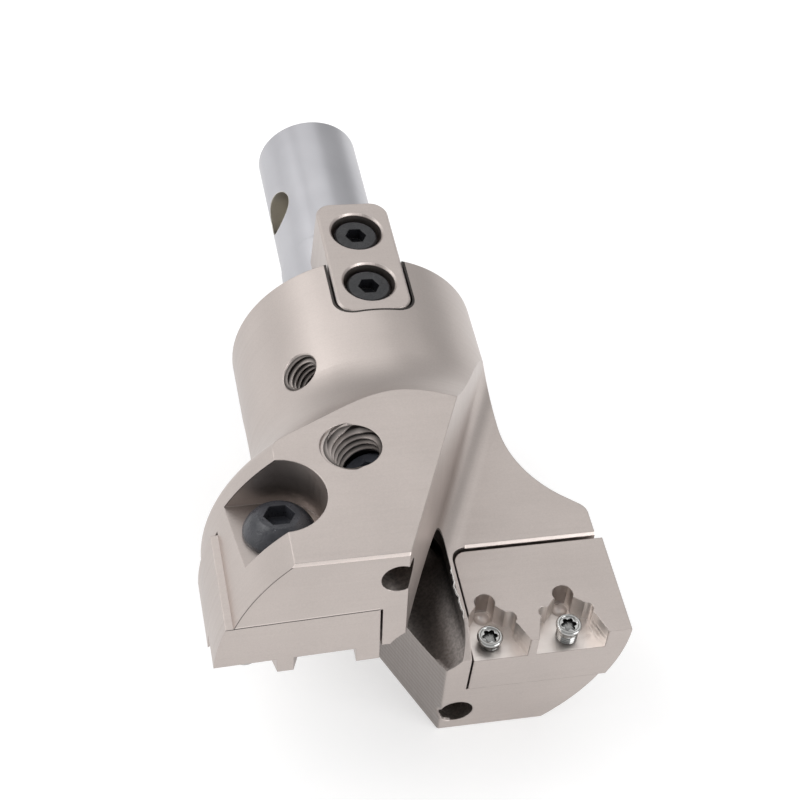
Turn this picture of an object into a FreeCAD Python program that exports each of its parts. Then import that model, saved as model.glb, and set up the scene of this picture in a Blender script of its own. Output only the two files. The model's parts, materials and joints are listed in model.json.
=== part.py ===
import FreeCAD, Part
import math
import os

os.makedirs("parts", exist_ok=True)

V = FreeCAD.Vector

# Frame while building, in millimetres.
# z runs along the axis from the cutting end (z = 0) to the shank end.
# x runs across the two wings. y is the thickness direction.
# The upper wing half is at negative y, its twin is half a turn round the axis.
# At the end everything is laid down so that the axis lies along +Y,
# with the rear face of the head at Y = 0 and Z up.

# Head body
BODY_R = 20.0
BODY_LEN = 63.0
BODY_RIM_CHAMFER = 0.6
WING_R = 30.1
FLARE_START = 41.25
FLARE_R = 20.0
FLARE_ANGLE = 50.0
SHOULDER_R = 2.6
FLAT_H = 22.5
FLAT_EDGE = 0.35

# The end faces fall away from the cutting edges on both sides
END_RELIEF = 3.0

# Flutes
FLUTE_ANGLE = 24.1
FLUTE_WALL_X = -3.4
FLUTE_WALL_LEAN = 3.0
FLUTE_FLOOR_Y = -0.6
FLUTE_FILLET_R = 4.5

# Ball ended bore in the middle of the cutting end
CORE_BORE_R = 6.5
CORE_BORE_DEPTH = 25.3

# The thin wall between that bore and a cartridge is bevelled at the cutting end
WALL_BEVEL_X = 4.0
WALL_BEVEL_Y = 3.4
WALL_BEVEL_Z = 5.0

# Coolant holes in the two end faces
COOLANT_D = 5.2
COOLANT_LEFT_X = 5.2
COOLANT_RIGHT_X = 6.3
COOLANT_Y = 17.5
COOLANT_DEPTH = 14.0

# Seats for the cartridges. The left one leans a little about the line SEAT_PIVOT_X, SEAT_Y_LEFT.
SEAT_X = 7.15
SEAT_Z = 18.1
SEAT_Y_RIGHT = 11.4
SEAT_Y_LEFT = 10.8
SEAT_CORNER_R = 2.4
SEAT_EDGE = 0.4
SEAT_PIVOT_X = 17.5
LEFT_SEAT_TILT = 2.4

# Cartridges
CART_SIDE_GAP = 0.35
CART_BACK_GAP = 0.65
CART_TOP_Y = -0.3
CART_TOP_Y_LEFT = -0.1
CART_R = 31.1
CART_CORNER_R = 2.0
CART_SEAT_GAP = 0.02

# Insert pockets, cut into the cutting face of each cartridge.
# Those of the left cartridge lie further out, so that together they cut the whole width.
POCKET_DEPTH = 4.05
POCKET_DEPTH_LEFT = 2.85
PIT_R = 1.2
INNER_OUTLINE = [(6.7, -1.0), (6.7, 4.95), (8.8, 7.2), (11.66, 7.0), (12.98, 5.72), (14.45, 3.1), (16.2, -1.0)]
INNER_RELIEFS = [(10.3, 7.7, 1.55), (13.35, 4.55, 1.15)]
OUTER_OUTLINE = [(16.6, -1.0), (17.95, 3.8), (20.7, 7.0), (23.74, 7.0), (25.4, 5.7), (26.4, 3.4), (28.0, -1.0)]
OUTER_RELIEFS = [(22.35, 7.75, 1.6), (18.95, 4.85, 1.0), (25.35, 4.75, 1.0)]
LEFT_INNER_SHIFT = 4.2
LEFT_OUTER_OUTLINE = [(22.1, -1.0), (23.2, 3.8), (26.0, 7.0), (29.2, 7.0), (34.0, 4.6), (34.0, -1.0)]
LEFT_OUTER_RELIEFS = [(27.6, 7.75, 1.6), (24.2, 4.85, 1.0)]

# Insert screws
INSERT_SCREW_D = 2.5
INSERT_SCREW_HEAD_D = 3.9
INSERT_SCREW_HEAD_H = 1.5
INSERT_SCREW_CONE_H = 0.68
INSERT_SCREW_EDGE = 0.3
INSERT_SCREW_TIP = 0.25
INSERT_SCREW_HOLE_DEPTH = 6.5
INSERT_SCREW_LEN = 6.0
INSERT_SOCKET_D = 2.4
INSERT_SOCKET_DEPTH = 0.9
LOBE_SHARE = 0.16
LOBE_CORE_SHARE = 0.92
INNER_SCREW_X = 10.45
OUTER_SCREW_X = 22.3
LEFT_INNER_SCREW_X = 15.1
LEFT_OUTER_SCREW_X = 26.6
INNER_SCREW_Z = 3.3
OUTER_SCREW_Z = 3.0
INNER_SCREW_LIFT = 0.3
OUTER_SCREW_LIFT = 1.5
LEFT_SCREW_LIFT = 0.4

# Clamp screws and the recess each one sits in
RECESS_FROM_SIDE = 10.05
RECESS_Z = 13.65
RECESS_R = 6.55
RECESS_FLOOR_Y = -14.3
RECESS_TILT = 10.0
CLAMP_D = 6.0
CLAMP_HEAD_D = 10.5
CLAMP_HEAD_H = 3.3
CLAMP_RIM_H = 0.6
CLAMP_CROWN_R = 3.0
CLAMP_DOME_BULGE = 0.34
CLAMP_HOLE_D = 6.6
CLAMP_LEN = 11.0
CLAMP_SOCKET = 4.0
CLAMP_SOCKET_DEPTH = 2.1

# Tapped holes
PLUG_D = 8.0
PLUG_X = -8.6
PLUG_Z = 21.5
PLUG_HOLE_DEPTH = 15.0
PLUG_LEN = 8.0
PLUG_SOCKET = 4.0
PLUG_SOCKET_DEPTH = 3.0
PLUG_TIP_CHAMFER = 0.8
SIDE_HOLE_D = 6.0
SIDE_HOLE_ANGLE = 230.9
SIDE_HOLE_Z = 43.3
TAPPED_CHAMFER = 0.4
DRILL_POINT_SHARE = 0.6

# Locating spigot
SPIGOT_R = 9.0
SPIGOT_LEN = 48.0
SPIGOT_INSIDE = 26.0
SPIGOT_CHAMFER = 1.0
SPIGOT_BORE_CHAMFER = 0.3
SPIGOT_SPOT_R = 8.3
SPIGOT_SPOT_W = 6.8
SPIGOT_STEP = 0.2
SPIGOT_STEP_LEN = 12.0
SPIGOT_FIT = 0.02
SPIGOT_FLAT_Y = -8.6
CROSS_HOLE_D = 7.6
CROSS_HOLE_FROM_END = 17.8
CROSS_HOLE_ANGLE = 19.5

# Drive key and its screws. The key is turned a little about the axis.
KEY_TURN = 2.3
KEY_W = 11.8
KEY_LEN = 25.0
KEY_TOP_Y = -19.3
KEY_IN_HEAD = 11.6
KEY_CORNER_R = 2.8
KEY_GAP = 0.3
KEY_SEAT_GAP = 0.02
KEY_EDGE = 0.3
KEY_SCREW_SPACING = 11.7
KEY_SCREW_FROM_FRONT = 6.5
KEY_BORE_D = 8.2
KEY_BORE_DEPTH = 5.0
KEY_HOLE_D = 4.4
KEY_SCREW_D = 4.0
KEY_SCREW_HEAD_D = 7.0
KEY_SCREW_HEAD_H = 4.0
KEY_SCREW_EDGE = 0.3
KEY_SCREW_LEN = 12.0
KEY_SOCKET = 3.0
KEY_SOCKET_DEPTH = 2.0

# Fits
THREAD_FIT = 0.05
HEAD_SEAT_GAP = 0.02
OVER = 1.0
FAR = 80.0

TAN_FLUTE = math.tan(math.radians(FLUTE_ANGLE))
ORIGIN = V(0, 0, 0)
AXIS_X = V(1, 0, 0)
AXIS_Y = V(0, 1, 0)
AXIS_Z = V(0, 0, 1)


def half_turn(shape):
    twin = shape.copy()
    twin.rotate(ORIGIN, AXIS_Z, 180)
    return twin


def turned_key(shape):
    shape = shape.copy()
    shape.rotate(ORIGIN, AXIS_Z, KEY_TURN)
    return shape


def left_side(shape):
    # Takes a shape of a seat or cartridge on the right to its leaning place on the left.
    moved = shape.copy()
    moved.rotate(V(SEAT_PIVOT_X, SEAT_Y_LEFT, 0), AXIS_Z, -LEFT_SEAT_TILT)
    return half_turn(moved)


def box(x0, x1, y0, y1, z0, z1):
    return Part.makeBox(x1 - x0, y1 - y0, z1 - z0, V(x0, y0, z0))


def prism_y(points, y0, y1):
    corners = [V(x, y0, z) for x, z in points]
    face = Part.Face(Part.makePolygon(corners + corners[:1]))
    return face.extrude(V(0, y1 - y0, 0))


def rounded_block(x0, x1, z0, z1, y0, y1, radius, near):
    block = box(x0, x1, y0, y1, z0, z1)
    picked = []
    for edge in block.Edges:
        a = edge.Vertexes[0].Point
        b = edge.Vertexes[-1].Point
        if abs(a.x - b.x) < 1e-6 and abs(a.z - b.z) < 1e-6 and near(a.x, a.z):
            picked.append(edge)
    return block.makeFillet(radius, picked)


def hexagon(width, depth):
    corner = width / math.sqrt(3)
    points = [V(corner * math.cos(k * math.pi / 3), corner * math.sin(k * math.pi / 3), 0) for k in range(7)]
    return Part.Face(Part.makePolygon(points)).extrude(V(0, 0, depth))


def six_lobe(diameter, depth):
    lobe = diameter * LOBE_SHARE
    ring = diameter / 2 - lobe
    shape = Part.makeCylinder(ring * LOBE_CORE_SHARE, depth)
    for k in range(6):
        a = k * math.pi / 3
        shape = shape.fuse(Part.makeCylinder(lobe, depth, V(ring * math.cos(a), ring * math.sin(a), 0)))
    return shape.removeSplitter()


def place(shape, point, direction):
    moved = shape.copy()
    moved.Placement = FreeCAD.Placement(point, FreeCAD.Rotation(AXIS_Z, direction))
    return moved


def turned(points):
    outline = [V(r, 0, z) for r, z in points]
    face = Part.Face(Part.makePolygon(outline + outline[:1]))
    return face.revolve(ORIGIN, AXIS_Z, 360)


def blank():
    a = math.radians(FLARE_ANGLE)
    start = V(BODY_R, 0, FLARE_START)
    middle = V(BODY_R + FLARE_R * (1 - math.cos(a / 2)), 0, FLARE_START - FLARE_R * math.sin(a / 2))
    end = V(BODY_R + FLARE_R * (1 - math.cos(a)), 0, FLARE_START - FLARE_R * math.sin(a))
    # The straight cone below the flare meets the wing diameter through a rounded shoulder.
    slope = math.tan(a)
    corner_z = end.z - (WING_R - end.x) / slope
    set_back = SHOULDER_R * math.tan(a / 2)
    cone_end = V(WING_R - set_back * math.sin(a), 0, corner_z + set_back * math.cos(a))
    side_start = V(WING_R, 0, corner_z - set_back)
    centre = V(WING_R - SHOULDER_R, 0, corner_z - set_back)
    bulge = V(centre.x + SHOULDER_R * math.cos(a / 2), 0, centre.z + SHOULDER_R * math.sin(a / 2))
    rim = BODY_RIM_CHAMFER
    edges = [
        Part.makeLine(V(0, 0, 0), V(0, 0, BODY_LEN)),
        Part.makeLine(V(0, 0, BODY_LEN), V(BODY_R - rim, 0, BODY_LEN)),
        Part.makeLine(V(BODY_R - rim, 0, BODY_LEN), V(BODY_R, 0, BODY_LEN - rim)),
        Part.makeLine(V(BODY_R, 0, BODY_LEN - rim), start),
        Part.Arc(start, middle, end).toShape(),
        Part.makeLine(end, cone_end),
        Part.Arc(cone_end, bulge, side_start).toShape(),
        Part.makeLine(side_start, V(WING_R, 0, 0)),
        Part.makeLine(V(WING_R, 0, 0), V(0, 0, 0)),
    ]
    return Part.Face(Part.Wire(edges)).revolve(ORIGIN, AXIS_Z, 360)


def flute():
    # Section in the x, y plane, swept along the slanted direction of the flute.
    lean = math.tan(math.radians(FLUTE_WALL_LEAN))
    floor = FLUTE_FLOOR_Y
    foot = FLUTE_WALL_X + lean * floor
    top = FLUTE_WALL_X - lean * FAR
    z0 = -OVER
    shift = TAN_FLUTE * z0
    corners = [
        V(foot + shift, floor, z0),
        V(FAR + shift, floor, z0),
        V(FAR + shift, -FAR, z0),
        V(top + shift, -FAR, z0),
    ]
    face = Part.Face(Part.makePolygon(corners + corners[:1]))
    solid = face.extrude(V(TAN_FLUTE * FAR, 0, FAR))
    picked = []
    for edge in solid.Edges:
        a = edge.Vertexes[0].Point
        b = edge.Vertexes[-1].Point
        if abs(a.y - floor) < 1e-6 and abs(b.y - floor) < 1e-6 and abs(a.z - b.z) > OVER:
            if min(a.x, b.x) < foot:
                picked.append(edge)
    return solid.makeFillet(FLUTE_FILLET_R, picked)


def prism_x(points, x0, x1):
    corners = [V(x0, y, z) for y, z in points]
    face = Part.Face(Part.makePolygon(corners + corners[:1]))
    return face.extrude(V(x1 - x0, 0, 0))


def end_relief():
    # What stands beyond the two end faces, which fall away from the line y = 0.
    fall = math.tan(math.radians(END_RELIEF)) * FAR
    points = [(0, 0), (FAR, fall), (FAR, -2 * OVER), (-FAR, -2 * OVER), (-FAR, fall)]
    return prism_x(points, -FAR, FAR)


def flat_edge():
    # Chamfer between a back flat and the end face.
    c = FLAT_EDGE
    z = math.tan(math.radians(END_RELIEF)) * FLAT_H
    points = [(-FLAT_H - OVER, z + c + OVER), (-FLAT_H + c + OVER, z - OVER), (-FLAT_H - OVER, z - OVER)]
    return prism_x(points, -FAR, FAR)


def seat_space(depth):
    def inner_corner(x, z):
        return x < SEAT_X + OVER and z > SEAT_Z - OVER
    space = rounded_block(SEAT_X, FAR, -OVER, SEAT_Z, -FAR, depth, SEAT_CORNER_R, inner_corner)
    # Chamfer between the rear wall of the seat and the floor of the flute.
    c = SEAT_EDGE
    y = FLUTE_FLOOR_Y
    points = [(y - OVER, SEAT_Z + c + OVER), (y - OVER, SEAT_Z - OVER), (y + c + OVER, SEAT_Z - OVER)]
    return space.fuse(prism_x(points, SEAT_X + SEAT_CORNER_R, FAR))


def thin_wall_bevel():
    points = [
        (FLUTE_FLOOR_Y - OVER, -OVER),
        (FLUTE_FLOOR_Y - OVER, WALL_BEVEL_Z + OVER),
        (FLUTE_FLOOR_Y, WALL_BEVEL_Z),
        (WALL_BEVEL_Y, 0),
        (WALL_BEVEL_Y, -OVER),
    ]
    return prism_x(points, WALL_BEVEL_X, SEAT_X + OVER)


def clamp_axis():
    a = math.radians(RECESS_TILT)
    return V(0, -math.cos(a), math.sin(a))


def clamp_seat():
    return V(RECESS_FROM_SIDE - WING_R, RECESS_FLOOR_Y, RECESS_Z)


def recess():
    # Slot with a round inner end, open to the outside of the wing, with a slanted floor.
    top = -FAR
    slope = math.tan(math.radians(RECESS_TILT))
    x = clamp_seat().x
    slot = Part.makeCylinder(RECESS_R, FAR, V(x, top, RECESS_Z), AXIS_Y)
    slot = slot.fuse(box(-FAR, x, top, 0, RECESS_Z - RECESS_R, RECESS_Z + RECESS_R))
    reach = 2 * RECESS_R
    under = [
        V(-FAR - OVER, RECESS_FLOOR_Y - slope * reach, RECESS_Z - reach),
        V(-FAR - OVER, RECESS_FLOOR_Y + slope * reach, RECESS_Z + reach),
        V(-FAR - OVER, FAR, RECESS_Z + reach),
        V(-FAR - OVER, FAR, RECESS_Z - reach),
    ]
    block = Part.Face(Part.makePolygon(under + under[:1])).extrude(V(2 * FAR, 0, 0))
    return slot.cut(block)


def tapped_cut(diameter, depth, point, inward):
    # Bore at the full thread diameter with a cone at the bottom and a chamfered mouth.
    r = diameter / 2
    c = TAPPED_CHAMFER
    lead = 3 * OVER
    point_z = depth + r * DRILL_POINT_SHARE
    profile = [(0, -lead), (r + c, -lead), (r + c, 0), (r, c), (r, depth), (0, point_z)]
    return place(turned(profile), point, inward)


def plug_mouth():
    return V(PLUG_X, -FLAT_H, PLUG_Z)


def plug_inward():
    # The hole points at the axis of the tool.
    return V(-PLUG_X, FLAT_H, 0).normalize()


def side_inward():
    a = math.radians(SIDE_HOLE_ANGLE)
    return V(-math.cos(a), -math.sin(a), 0)


def side_hole():
    # Tapped hole from the side of the body into the bore of the spigot, with a chamfer that follows the round side.
    r = SIDE_HOLE_D / 2
    c = TAPPED_CHAMFER
    depth = BODY_R - SPIGOT_R + OVER
    profile = [(0, -OVER), (r + c + OVER, -OVER), (r, c), (r, depth), (0, depth)]
    mouth = side_inward() * -BODY_R + V(0, 0, SIDE_HOLE_Z)
    return place(turned(profile), mouth, side_inward())


def spigot_spot():
    # Flat on the spigot under that hole, for the screw to bear on.
    half = SPIGOT_SPOT_W / 2
    block = box(-BODY_R, BODY_R, -half, half, SPIGOT_SPOT_R, BODY_R)
    return place(block, V(0, 0, SIDE_HOLE_Z), side_inward() * -1)


def key_front_z():
    return BODY_LEN - KEY_IN_HEAD


def key_block(grow, y0, y1, z_rear):
    half = KEY_W / 2 + grow
    z_front = key_front_z() - grow
    return rounded_block(-half, half, z_front, z_rear, y0, y1, KEY_CORNER_R + grow, lambda x, z: True)


def key_screw_z():
    first = key_front_z() + KEY_SCREW_FROM_FRONT
    return [first, first + KEY_SCREW_SPACING]


def make_head():
    body = blank()
    for side in (-1, 1):
        y0, y1 = sorted((side * FLAT_H, side * FAR))
        body = body.cut(box(-FAR, FAR, y0, y1, -OVER, FLARE_START))
    cuts = [flute(), flat_edge(), recess()]
    cuts.append(tapped_cut(PLUG_D + THREAD_FIT, PLUG_HOLE_DEPTH, plug_mouth(), plug_inward()))
    cuts.append(thin_wall_bevel())
    hole = Part.makeCylinder(CLAMP_HOLE_D / 2, 4 * CLAMP_D, clamp_seat() + clamp_axis() * CLAMP_D, clamp_axis() * -1)
    cuts.append(hole)
    cuts.append(side_hole())
    for cut in cuts:
        body = body.cut(cut)
        body = body.cut(half_turn(cut))
    body = body.cut(seat_space(SEAT_Y_RIGHT))
    body = body.cut(left_side(seat_space(SEAT_Y_LEFT)))
    for x, y in ((-COOLANT_LEFT_X, -COOLANT_Y), (COOLANT_RIGHT_X, COOLANT_Y)):
        body = body.cut(Part.makeCylinder(COOLANT_D / 2, COOLANT_DEPTH + OVER, V(x, y, -OVER)))
    straight = CORE_BORE_DEPTH - CORE_BORE_R
    core = Part.makeCylinder(CORE_BORE_R, straight + OVER, V(0, 0, -OVER))
    core = core.fuse(Part.makeSphere(CORE_BORE_R, V(0, 0, straight)))
    body = body.cut(core)
    # Bore that takes the spigot, and the slot for the drive key.
    bottom = BODY_LEN - SPIGOT_INSIDE - HEAD_SEAT_GAP
    bore_r = SPIGOT_R + SPIGOT_FIT
    c = SPIGOT_BORE_CHAMFER
    body = body.cut(Part.makeCylinder(bore_r, FAR, V(0, 0, bottom)))
    body = body.cut(Part.makeCone(bore_r, bore_r + c, c, V(0, 0, BODY_LEN - c)))
    body = body.cut(turned_key(key_block(KEY_GAP, -FAR, SPIGOT_FLAT_Y, BODY_LEN + FAR / 2)))
    return body.cut(end_relief()).removeSplitter()


def shifted(outline, shift):
    return [(x + shift, z) for x, z in outline]


def shifted_circles(circles, shift):
    return [(x + shift, z, r) for x, z, r in circles]


RIGHT = {
    "seat": SEAT_Y_RIGHT,
    "top": CART_TOP_Y,
    "floor": CART_TOP_Y + POCKET_DEPTH,
    "pockets": [(INNER_OUTLINE, INNER_RELIEFS), (OUTER_OUTLINE, OUTER_RELIEFS)],
    "screws": [
        (INNER_SCREW_X, INNER_SCREW_Z, INNER_SCREW_LIFT),
        (OUTER_SCREW_X, OUTER_SCREW_Z, OUTER_SCREW_LIFT),
    ],
    "put": lambda shape: shape,
}
LEFT = {
    "seat": SEAT_Y_LEFT,
    "top": CART_TOP_Y_LEFT,
    "floor": CART_TOP_Y_LEFT + POCKET_DEPTH_LEFT,
    "pockets": [
        (shifted(INNER_OUTLINE, LEFT_INNER_SHIFT), shifted_circles(INNER_RELIEFS, LEFT_INNER_SHIFT)),
        (LEFT_OUTER_OUTLINE, LEFT_OUTER_RELIEFS),
    ],
    "screws": [
        (LEFT_INNER_SCREW_X, INNER_SCREW_Z, LEFT_SCREW_LIFT),
        (LEFT_OUTER_SCREW_X, OUTER_SCREW_Z, LEFT_SCREW_LIFT),
    ],
    "put": left_side,
}


def make_cartridge(side):
    x0 = SEAT_X + CART_SIDE_GAP
    z1 = SEAT_Z - CART_BACK_GAP
    top = side["top"]
    floor = side["floor"]

    def inner_corner(x, z):
        return x < x0 + OVER and z > z1 - OVER
    block = rounded_block(x0, FAR, -OVER, z1, top, side["seat"] - CART_SEAT_GAP, CART_CORNER_R, inner_corner)
    for outline, reliefs in side["pockets"]:
        block = block.cut(prism_y(outline, top - OVER, floor))
        for x, z, r in reliefs:
            block = block.cut(Part.makeCylinder(r, floor - top + OVER, V(x, top - OVER, z), AXIS_Y))
        x, z, r = reliefs[0]
        block = block.cut(Part.makeSphere(PIT_R, V(x, floor, z)))
    for x, z, lift in side["screws"]:
        depth = INSERT_SCREW_HOLE_DEPTH - lift
        block = block.cut(Part.makeCylinder((INSERT_SCREW_D + THREAD_FIT) / 2, depth, V(x, floor, z), AXIS_Y))
    block = side["put"](block)
    block = block.common(Part.makeCylinder(CART_R, FAR, V(0, 0, -OVER)))
    return block.cut(end_relief())


def clamp_bore():
    # Tapped hole in the left cartridge that the clamp screw pulls on.
    return Part.makeCylinder((CLAMP_D + THREAD_FIT) / 2, CLAMP_LEN + OVER, clamp_seat(), clamp_axis() * -1)


def make_insert_screw(side, x, z, lift):
    r = INSERT_SCREW_D / 2
    head = INSERT_SCREW_HEAD_D / 2
    top = INSERT_SCREW_HEAD_H
    length = INSERT_SCREW_LEN
    tip = INSERT_SCREW_TIP
    edge = INSERT_SCREW_EDGE
    profile = [(0, -length), (r - tip, -length), (r, 2 * tip - length), (r, 0)]
    profile += [(head, INSERT_SCREW_CONE_H), (head, top - edge), (head - edge, top), (0, top)]
    screw = turned(profile)
    socket = six_lobe(INSERT_SOCKET_D, INSERT_SOCKET_DEPTH + OVER)
    socket.translate(V(0, 0, top - INSERT_SOCKET_DEPTH))
    screw = screw.cut(socket)
    return side["put"](place(screw, V(x, side["floor"] - lift, z), V(0, -1, 0)))


def make_clamp_screw():
    r = CLAMP_D / 2
    head = CLAMP_HEAD_D / 2
    rise = CLAMP_HEAD_H
    shank = Part.makeCylinder(r, CLAMP_LEN, V(0, 0, -CLAMP_LEN))
    a = V(head, 0, 0)
    b = V(head, 0, CLAMP_RIM_H)
    d = V(CLAMP_CROWN_R, 0, rise)
    outward = V(d.z - b.z, 0, b.x - d.x).normalize()
    c = (b + d) * 0.5 + outward * CLAMP_DOME_BULGE
    edges = [
        Part.makeLine(V(0, 0, 0), a),
        Part.makeLine(a, b),
        Part.Arc(b, c, d).toShape(),
        Part.makeLine(d, V(0, 0, rise)),
        Part.makeLine(V(0, 0, rise), V(0, 0, 0)),
    ]
    dome = Part.Face(Part.Wire(edges)).revolve(ORIGIN, AXIS_Z, 360)
    socket = hexagon(CLAMP_SOCKET, CLAMP_SOCKET_DEPTH + OVER)
    socket.translate(V(0, 0, rise - CLAMP_SOCKET_DEPTH))
    screw = dome.fuse(shank).removeSplitter().cut(socket)
    return place(screw, clamp_seat() + clamp_axis() * HEAD_SEAT_GAP, clamp_axis())


def make_plug():
    r = PLUG_D / 2
    c = PLUG_TIP_CHAMFER
    plug = turned([(0, 0), (r - c, 0), (r, c), (r, PLUG_LEN - c / 2), (r - c / 2, PLUG_LEN), (0, PLUG_LEN)])
    socket = hexagon(PLUG_SOCKET, PLUG_SOCKET_DEPTH + OVER)
    socket.translate(V(0, 0, PLUG_LEN - PLUG_SOCKET_DEPTH))
    plug = plug.cut(socket)
    bottom = plug_mouth() + plug_inward() * (PLUG_HOLE_DEPTH - HEAD_SEAT_GAP)
    return place(plug, bottom, plug_inward() * -1)


def make_spigot():
    r = SPIGOT_R
    c = SPIGOT_CHAMFER
    z0 = BODY_LEN - SPIGOT_INSIDE
    z1 = BODY_LEN + SPIGOT_LEN
    hole_z = z1 - CROSS_HOLE_FROM_END
    zs = hole_z - SPIGOT_STEP_LEN
    small = r - SPIGOT_STEP
    # The outline has a point at the cross hole too, so the wall is one face on each side of it.
    outline = [(0, z0), (r - c, z0), (r, z0 + c), (r, zs), (small, zs), (small, hole_z)]
    outline += [(small, z1 - c), (small - c, z1), (0, z1)]
    spigot = turned(outline)
    spot = spigot_spot()
    spigot = spigot.cut(spot).cut(half_turn(spot))
    rear = key_front_z() + KEY_LEN + KEY_GAP
    spigot = spigot.cut(turned_key(box(-r, r, -2 * r, SPIGOT_FLAT_Y, key_front_z() - KEY_GAP, rear)))
    a = math.radians(CROSS_HOLE_ANGLE)
    across = V(math.cos(a), math.sin(a), 0)
    start = V(0, 0, hole_z) - across * (2 * r)
    spigot = spigot.cut(Part.makeCylinder(CROSS_HOLE_D / 2, 4 * r, start, across))
    for z in key_screw_z():
        seat = KEY_TOP_Y + KEY_BORE_DEPTH
        depth = KEY_SCREW_LEN + OVER
        bore = Part.makeCylinder((KEY_SCREW_D + THREAD_FIT) / 2, depth, V(0, seat, z), AXIS_Y)
        spigot = spigot.cut(turned_key(bore))
    return spigot


def make_key():
    bottom = SPIGOT_FLAT_Y - KEY_SEAT_GAP
    rear = key_front_z() + KEY_LEN
    key = key_block(0, KEY_TOP_Y, bottom, rear)
    rim = [e for e in key.Edges if max(abs(v.Point.y - KEY_TOP_Y) for v in e.Vertexes) < 1e-6]
    key = key.makeChamfer(KEY_EDGE, rim)
    for z in key_screw_z():
        key = key.cut(Part.makeCylinder(KEY_BORE_D / 2, KEY_BORE_DEPTH + OVER, V(0, KEY_TOP_Y - OVER, z), AXIS_Y))
        key = key.cut(Part.makeCylinder(KEY_HOLE_D / 2, FAR, V(0, KEY_TOP_Y, z), AXIS_Y))
        rim_cone = Part.makeCone(KEY_BORE_D / 2 + KEY_EDGE, KEY_BORE_D / 2, KEY_EDGE, V(0, KEY_TOP_Y, z), AXIS_Y)
        key = key.cut(rim_cone)
    return turned_key(key)


def make_key_screw(z):
    r = KEY_SCREW_D / 2
    head = KEY_SCREW_HEAD_D / 2
    top = KEY_SCREW_HEAD_H
    c = KEY_SCREW_EDGE
    length = KEY_SCREW_LEN
    profile = [(0, -length), (r - c, -length), (r, c - length), (r, 0), (head, 0), (head, top - c)]
    profile += [(head - c, top), (0, top)]
    screw = turned(profile)
    socket = hexagon(KEY_SOCKET, KEY_SOCKET_DEPTH + OVER)
    socket.translate(V(0, 0, top - KEY_SOCKET_DEPTH))
    screw = screw.cut(socket)
    seat = KEY_TOP_Y + KEY_BORE_DEPTH - HEAD_SEAT_GAP
    return turned_key(place(screw, V(0, seat, z), V(0, -1, 0)))


def lay_down(shape):
    laid = shape.copy()
    laid.rotate(ORIGIN, AXIS_X, -90)
    laid.translate(V(0, -BODY_LEN, 0))
    return laid


pieces = {}
pieces["head_body"] = make_head()
pieces["locating_spigot"] = make_spigot()
pieces["drive_key"] = make_key()
for name, z in zip(("key_screw_front", "key_screw_rear"), key_screw_z()):
    pieces[name] = make_key_screw(z)
pieces["cartridge_right"] = make_cartridge(RIGHT).cut(half_turn(clamp_bore())).removeSplitter()
pieces["cartridge_left"] = make_cartridge(LEFT).cut(clamp_bore()).removeSplitter()
for name, side in (("right", RIGHT), ("left", LEFT)):
    for spot, place_of in zip(("inner", "outer"), side["screws"]):
        pieces["insert_screw_" + name + "_" + spot] = make_insert_screw(side, *place_of)
clamp = make_clamp_screw()
pieces["clamp_screw_left"] = clamp
pieces["clamp_screw_right"] = half_turn(clamp)
plug = make_plug()
pieces["set_screw_left"] = plug
pieces["set_screw_right"] = half_turn(plug)

for name, shape in pieces.items():
    lay_down(shape).exportStep("parts/" + name + ".step")
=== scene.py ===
import json
import math

import bmesh
import bpy
from mathutils import Matrix, Vector


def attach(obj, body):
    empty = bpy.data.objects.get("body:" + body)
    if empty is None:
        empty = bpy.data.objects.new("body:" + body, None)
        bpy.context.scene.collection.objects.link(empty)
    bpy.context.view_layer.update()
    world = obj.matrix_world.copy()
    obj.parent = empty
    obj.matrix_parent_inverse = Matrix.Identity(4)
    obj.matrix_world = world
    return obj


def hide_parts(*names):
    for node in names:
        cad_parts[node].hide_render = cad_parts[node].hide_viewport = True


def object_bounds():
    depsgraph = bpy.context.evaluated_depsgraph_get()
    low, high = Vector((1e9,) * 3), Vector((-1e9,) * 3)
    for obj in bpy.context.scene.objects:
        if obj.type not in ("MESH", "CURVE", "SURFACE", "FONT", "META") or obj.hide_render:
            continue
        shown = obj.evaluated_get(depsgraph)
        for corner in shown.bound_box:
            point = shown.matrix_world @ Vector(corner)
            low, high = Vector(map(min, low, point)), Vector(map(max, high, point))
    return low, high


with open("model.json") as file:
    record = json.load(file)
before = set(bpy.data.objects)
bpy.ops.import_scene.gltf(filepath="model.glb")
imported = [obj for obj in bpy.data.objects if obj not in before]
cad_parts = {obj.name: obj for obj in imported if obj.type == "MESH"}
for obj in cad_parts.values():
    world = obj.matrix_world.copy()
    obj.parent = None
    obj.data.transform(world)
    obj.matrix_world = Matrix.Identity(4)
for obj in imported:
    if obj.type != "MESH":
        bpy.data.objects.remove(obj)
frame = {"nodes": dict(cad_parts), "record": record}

cad_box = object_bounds()

# Named sizes and places are in millimetres, and angles in degrees, unless a comment says otherwise.
# X points to the right wing, Y from the cutting end to the spigot, Z up, with 0 in the head's rear face.
# The drill's own axes have x to the right wing, y down and z along the axis, with 0 in the plane of the tip.
MM = 0.001

# Direction of the drill's axis, length of the head, radius of its turned body and of its wings
AXIS = (0, 1, 0)
HEAD_LEN = 63.0
BODY_R = 20.0
WING_R = 30.1

# Camera
CAMERA_AT = (-53.1, -220.99, 231.62)
CAMERA_TARGET = (5.63, -13.36, 0.0)
CAMERA_ROLL = 6.615
CAMERA_LENS = 87.88
SENSOR_WIDTH = 36.0

# Light: level of the world, then azimuth, height and power of each softbox. The side of a softbox and the
# point that it looks at are in metres.
WORLD_LEVEL = 0.548
SOFTBOXES = (
    (135, 18, 4.25),
    (270, 18, 1.2),
    (315, 18, 0.5),
    (0, 50, 0.88),
    (60, 50, 0.78),
    (300, 50, 3.2),
)
SOFTBOX_SIDE = 0.6
SOFTBOX_TARGET = (0, -0.01, 0)

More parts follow.
